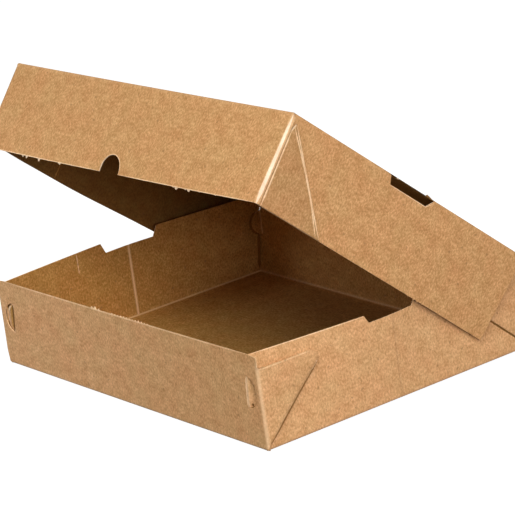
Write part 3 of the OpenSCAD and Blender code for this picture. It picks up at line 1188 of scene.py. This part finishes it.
# Frayed cut edges of the lid: torn fibres that a blunt die left on the lower edges of the flanges, a torn
# bit of board and a rubbed edge at the right flange's vent slot, and a short crease inside the left flange.
FRONT_TEETH = (
    (-84.0, 2.0, 0.95, 0.3),
    (-80.0, 2.2, 1.3, -0.3),
    (-68.3, 2.4, 1.5, 0.2),
    (-60.0, 3.0, 0.25, 0.1),
    (-49.0, 2.8, 0.9, 0.5),
    (-38.0, 4.0, 0.2, 0.4),
    (28.0, 4.0, 0.2, 0.2),
    (54.6, 2.4, 0.5, 0.6),
    (57.9, 3.4, 1.3, -0.2),
    (65.1, 2.6, 0.5, 0.5),
    (68.3, 3.0, 1.1, 0.2),
    (77.0, 3.0, 0.25, 0.2),
    (91.0, 1.6, 0.4, 0.1),
)
SIDE_TEETH_AT = (52.0, 55.5, 58.5, 63.0, 70.0)
SLOT_TOOTH = (SLOT_MID + 10.9, 1.8, 0.9, 0.3)
SLOT_TEAR = (76.5, 7.0, 1.0, 1.2)


def slot_tear_place(p, q):
    return lid_turn(LID_SIDE_FLAT + 0.4, -p, q)


right_place = side_flange_place(1)
lid_sheets.append(fray(FRONT_TEETH, flange_v(LOWER), 1, lid_strip_place, kraft_cut))
side_teeth = []
for p in SIDE_TEETH_AT:
    side_teeth.append((p, 1.1 + 0.4 * math.sin(p), 0.35 + 0.25 * math.sin(2.3 * p), 0.1))
lid_sheets.append(fray(side_teeth, FLANGE_FOOT, 1, right_place, kraft_face))
lid_sheets.append(fray([SLOT_TOOTH], SLOT_TOP, 1, right_place, kraft_cut))
lid_sheets.append(fray([SLOT_TEAR], 0.0, 1, slot_tear_place, kraft_shaded))
slot_edge = [(SLOT_MID - 16.9, 2.2), (SLOT_MID - 12.8, SLOT_LOW + 0.2), (SLOT_MID + 15.3, SLOT_LOW + 0.2)]
lid_sheets.append(line_ribbon(slot_edge, (0.4, 0.4), right_place, -OUTSIDE, kraft_wear_and_highlight))
inner_crease = [(129.3, FLANGE_FOOT - 0.5), (129.0, FLANGE_FOOT - 12.0)]
lid_sheets.append(line_ribbon(inner_crease, (0.9, 0.9), side_flange_place(-1), -OUTSIDE, kraft_inside_shaded))

lid_board = join_sheets("lid_board", lid_sheets)
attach(lid_board, "lid")
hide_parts("lid")

# Hinge crease: the narrow run of the same board between the hinge wall's top and the lid's panel.
# It is pressed soft along the fold and bent to the lid's open angle.
CREASE_HALF = END_HALF - END_PULL - 0.2
CREASE_R = 0.9


def crease_place(u, v):
    twist = math.radians(LID_OPEN + LID_TWIST * u / LID_HALF)
    bend = math.pi / 2 - twist
    arc = CREASE_R * bend
    short = CREASE_R * math.tan(bend / 2)
    low = HINGE_Z - short
    if v <= 0.0:
        return u, HINGE_Y, low + v
    if v < arc:
        angle = v / CREASE_R
        return u, HINGE_Y - CREASE_R * (1 - math.cos(angle)), low + CREASE_R * math.sin(angle)
    rest = v - arc + short
    return u, HINGE_Y - rest * math.cos(twist), HINGE_Z + rest * math.sin(twist)


crease_bend = math.pi / 2 - math.radians(LID_OPEN)
crease_short = CREASE_R * math.tan(crease_bend / 2)
crease_arc = CREASE_R * crease_bend
crease = flat_sheet(
    "hinge_crease",
    (-CREASE_HALF, HINGE_WALL_H - (HINGE_Z - crease_short)),
    (CREASE_HALF, crease_arc + PANEL_START - crease_short + 0.05),
    STRIP_PITCH,
    [],
    rows(0.0, crease_arc, FOLD_STEPS),
)
fold_sheet(crease, crease_place, LID_FINISHES, 0)
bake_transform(crease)

# The stage: a matt floor that is seen as white and keeps a soft shadow, and a surround that is seen
# as white but lights the box only a little.
FLOOR_GREY = (0.24, 0.24, 0.24, 1.0)
FLOOR_GLOW = 0.94
FLOOR_SIZE = 16.0
FLOOR_Z = -0.0005
SURROUND_TINT = (1.0, 0.98, 0.96, 1.0)
SURROUND_LIGHT = 0.14


def seen_directly(tree):
    rays = tree.nodes.new("ShaderNodeLightPath")
    seen = rays.outputs["Is Camera Ray"]
    for kind in ("Is Glossy Ray", "Is Transmission Ray"):
        either = tree.nodes.new("ShaderNodeMath")
        either.operation = "MAXIMUM"
        tree.links.new(seen, either.inputs[0])
        tree.links.new(rays.outputs[kind], either.inputs[1])
        seen = either.outputs["Value"]
    return seen


floor_paint = bpy.data.materials.new("floor_paint")
floor_paint.use_nodes = True
paint = floor_paint.node_tree
paint.nodes.clear()
paint_out = paint.nodes.new("ShaderNodeOutputMaterial")
matt = paint.nodes.new("ShaderNodeBsdfDiffuse")
matt.inputs["Color"].default_value = FLOOR_GREY
glow = paint.nodes.new("ShaderNodeEmission")
lift = paint.nodes.new("ShaderNodeMath")
lift.operation = "MULTIPLY"
lift.inputs[1].default_value = FLOOR_GLOW
both = paint.nodes.new("ShaderNodeAddShader")
paint.links.new(seen_directly(paint), lift.inputs[0])
paint.links.new(lift.outputs["Value"], glow.inputs["Strength"])
paint.links.new(matt.outputs["BSDF"], both.inputs[0])
paint.links.new(glow.outputs["Emission"], both.inputs[1])
paint.links.new(both.outputs["Shader"], paint_out.inputs["Surface"])

bpy.ops.object.select_all(action="DESELECT")
bpy.ops.mesh.primitive_plane_add(size=FLOOR_SIZE, location=(0.0, 0.0, FLOOR_Z))
floor = bpy.context.object
floor.name = "floor"
floor.data.materials.append(floor_paint)

world = bpy.data.worlds.new("studio")
bpy.context.scene.world = world
world.use_nodes = True
air = world.node_tree
air.nodes.clear()
air_out = air.nodes.new("ShaderNodeOutputWorld")
white = air.nodes.new("ShaderNodeBackground")
white.inputs["Color"].default_value = (1.0, 1.0, 1.0, 1.0)
white.inputs["Strength"].default_value = 1.0
soft = air.nodes.new("ShaderNodeBackground")
soft.inputs["Color"].default_value = SURROUND_TINT
soft.inputs["Strength"].default_value = SURROUND_LIGHT
choice = air.nodes.new("ShaderNodeMixShader")
air.links.new(seen_directly(air), choice.inputs["Fac"])
air.links.new(soft.outputs["Background"], choice.inputs[1])
air.links.new(white.outputs["Background"], choice.inputs[2])
air.links.new(choice.outputs["Shader"], air_out.inputs["Surface"])

# The lamps: four soft round ones on the front right, from high in front to low at the side, and a weak
# spot on the left that lifts the front left corner.
LAMP_AIM = Vector((0.0, 0.0, 0.05))
KICKER_AT = Vector((-0.30, -0.45, 0.25))
KICKER_AIM = Vector((-0.10, -0.09, 0.015))


def way_to(turn, rise):
    return Vector((
        math.sin(turn) * math.cos(rise),
        -math.cos(turn) * math.cos(rise),
        math.sin(rise),
    ))


def soft_lamp(name, turn_deg, rise_deg, distance, size, power, tint):
    lamp = bpy.data.lights.new(name, "AREA")
    lamp.shape = "DISK"
    lamp.size = size
    lamp.energy = power
    lamp.color = tint
    holder = bpy.data.objects.new(name, lamp)
    bpy.context.scene.collection.objects.link(holder)
    way = way_to(math.radians(turn_deg), math.radians(rise_deg))
    holder.location = way * distance + LAMP_AIM
    holder.rotation_euler = way.to_track_quat("Z", "Y").to_euler()


soft_lamp("key", 62.0, 46.0, 2.2, 1.0, 16.0, (1.0, 0.98, 1.0))
soft_lamp("front", 26.0, 52.0, 2.2, 1.0, 21.0, (1.0, 0.975, 0.88))
soft_lamp("low", 75.0, 14.0, 2.4, 0.8, 19.6, (1.0, 0.92, 0.90))
soft_lamp("side", 90.0, 28.0, 2.4, 0.8, 5.5, (1.0, 0.95, 0.94))

kicker = bpy.data.lights.new("kicker", "SPOT")
kicker.energy = 2.0
kicker.color = (1.0, 1.0, 1.2)
kicker.spot_size = math.radians(36.0)
kicker.spot_blend = 1.0
kicker.shadow_soft_size = 0.08
kicker_stand = bpy.data.objects.new("kicker", kicker)
bpy.context.scene.collection.objects.link(kicker_stand)
kicker_stand.location = KICKER_AT
kicker_stand.rotation_euler = (KICKER_AT - KICKER_AIM).to_track_quat("Z", "Y").to_euler()

# The viewpoint: a long lens from the front right, a little above the rim, rolled to the left.
# Angles and distance were fitted to the box's own edges.
VIEW_TURN = math.radians(54.94)
VIEW_RISE = math.radians(17.46)
VIEW_ROLL = math.radians(-7.93)
VIEW_DISTANCE = 1766.6
VIEW_TARGET = Vector((6.38, 0.0, 57.6))
LENS = 226.88
SENSOR = 36.0

toward = way_to(VIEW_TURN, VIEW_RISE)
level = Vector((math.cos(VIEW_TURN), math.sin(VIEW_TURN), 0.0))
upward = level.cross(-toward)
right = math.cos(VIEW_ROLL) * level + math.sin(VIEW_ROLL) * upward
over = -math.sin(VIEW_ROLL) * level + math.cos(VIEW_ROLL) * upward
viewpoint = bpy.data.cameras.new("viewpoint")
viewpoint.lens = LENS
viewpoint.sensor_width = SENSOR
viewpoint.clip_end = 20.0
camera = bpy.data.objects.new("viewpoint", viewpoint)
bpy.context.scene.collection.objects.link(camera)
turn = Matrix((right, over, toward)).transposed().to_4x4()
turn.translation = (VIEW_TARGET + VIEW_DISTANCE * toward) * MM
camera.matrix_world = turn
bpy.context.scene.camera = camera
bpy.context.scene.view_settings.view_transform = "Standard"
